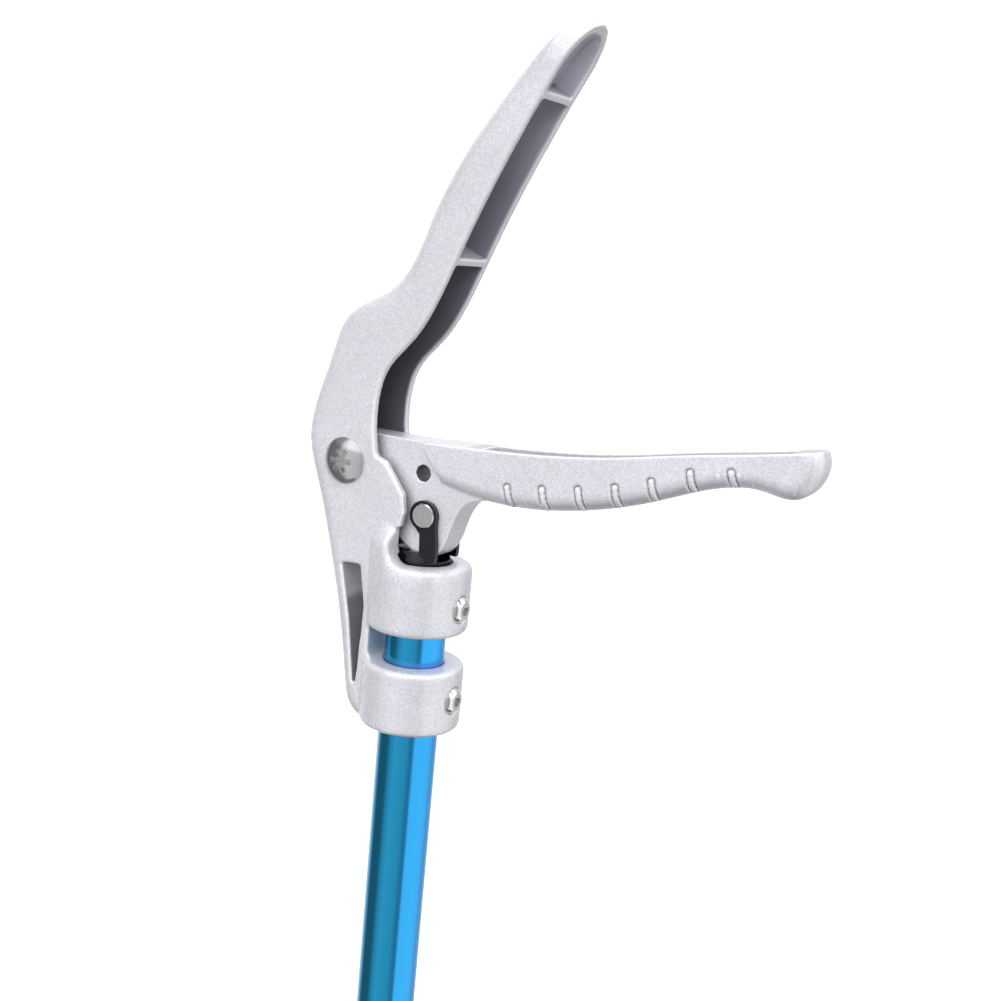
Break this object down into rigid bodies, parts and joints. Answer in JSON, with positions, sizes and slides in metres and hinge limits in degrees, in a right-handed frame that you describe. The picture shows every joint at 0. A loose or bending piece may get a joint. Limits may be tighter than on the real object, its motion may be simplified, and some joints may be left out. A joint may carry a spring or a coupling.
{
  "type": "reacher grabber",
  "caption": "Long-reach pick-up tool with a cast handle and squeeze lever on a slim tube, a pull rod inside and two hinged jaws with rubber pads.",
  "frame": {"origin": "on the tube's axis at the lower clamp collar's bottom face", "axes": "+Z along the tube towards the handle, +X towards the free end of the lever, Y along the pivot screw"},
  "size_m": [0.1678, 0.0287, 0.8246],
  "materials": {
    "cast": "silver metallic paint on die-cast aluminium, fine sparkle",
    "jaw_cast": "silver metallic paint on die-cast aluminium, fine sparkle",
    "blue_tube": "polished stainless tube with a blue coloured coating",
    "black": "black, glossy, moulded",
    "steel": "polished stainless steel",
    "zinc": "zinc-plated steel",
    "rod_steel": "drawn steel, brushed",
    "spring_steel": "oiled spring steel",
    "bush": "natural acetal, turned",
    "bronze": "sintered bronze",
    "rubber": "black ribbed rubber"
  },
  "bodies": {
    "handle": {"handle_body": "cast", "tube": "blue_tube", "pivot_screw": "steel", "pivot_nut": "zinc", "pivot_spacers": "bush", "handle_set_screws": "steel", "upper_guide_bush": "bush", "lower_guide_bush": "bush", "return_spring": "spring_steel", "jaw_head": "jaw_cast", "head_set_screws": "steel", "jaw_pivot_screws": "steel", "jaw_pivot_nuts": "zinc"},
    "lever": {"lever": "cast", "pivot_sleeve": "bronze"},
    "fork": {"fork": "black", "fork_ring": "zinc", "fork_pin": "steel"},
    "pull_rod": {"pull_rod": "rod_steel", "spring_collar": "zinc", "rod_end": "zinc", "rod_lock_nut": "zinc", "drive_pin": "steel"},
    "left_jaw": {"left_jaw": "jaw_cast", "left_jaw_pad": "rubber"},
    "right_jaw": {"right_jaw": "jaw_cast", "right_jaw_pad": "rubber"}
  },
  "joints": [
    {"name": "lever_squeeze", "type": "hinge", "parent": "handle", "child": "lever", "pos_m": [-0.0205, 0, 0.0687], "axis": [0, -1, 0], "range_deg": [0, 30], "stiffness_Nm_per_rad": 1.2, "springref_deg": -20.05},
    {"name": "fork_swing", "type": "hinge", "parent": "lever", "child": "fork", "pos_m": [0.0028, 0, 0.0576], "axis": [0, -1, 0], "range_deg": [-39, 0]},
    {"name": "rod_slide", "type": "slide", "parent": "handle", "child": "pull_rod", "axis": [0, 0, 1], "range_m": [0, 0.0137], "deforming": ["return_spring"]},
    {"name": "left_jaw_swing", "type": "hinge", "parent": "handle", "child": "left_jaw", "pos_m": [-0.015, 0, -0.59], "axis": [0, -1, 0], "range_deg": [0, 48.9]},
    {"name": "right_jaw_swing", "type": "hinge", "parent": "handle", "child": "right_jaw", "pos_m": [0.015, 0, -0.59], "axis": [0, 1, 0], "range_deg": [0, 48.9]}
  ],
  "couplings": [
    {"joint": "fork_swing", "follows": "lever_squeeze", "ratio": -1.29},
    {"joint": "rod_slide", "follows": "lever_squeeze", "m_per_rad": 0.02597},
    {"joint": "left_jaw_swing", "follows": "lever_squeeze", "ratio": 1.6258},
    {"joint": "right_jaw_swing", "follows": "lever_squeeze", "ratio": 1.6258}
  ]
}
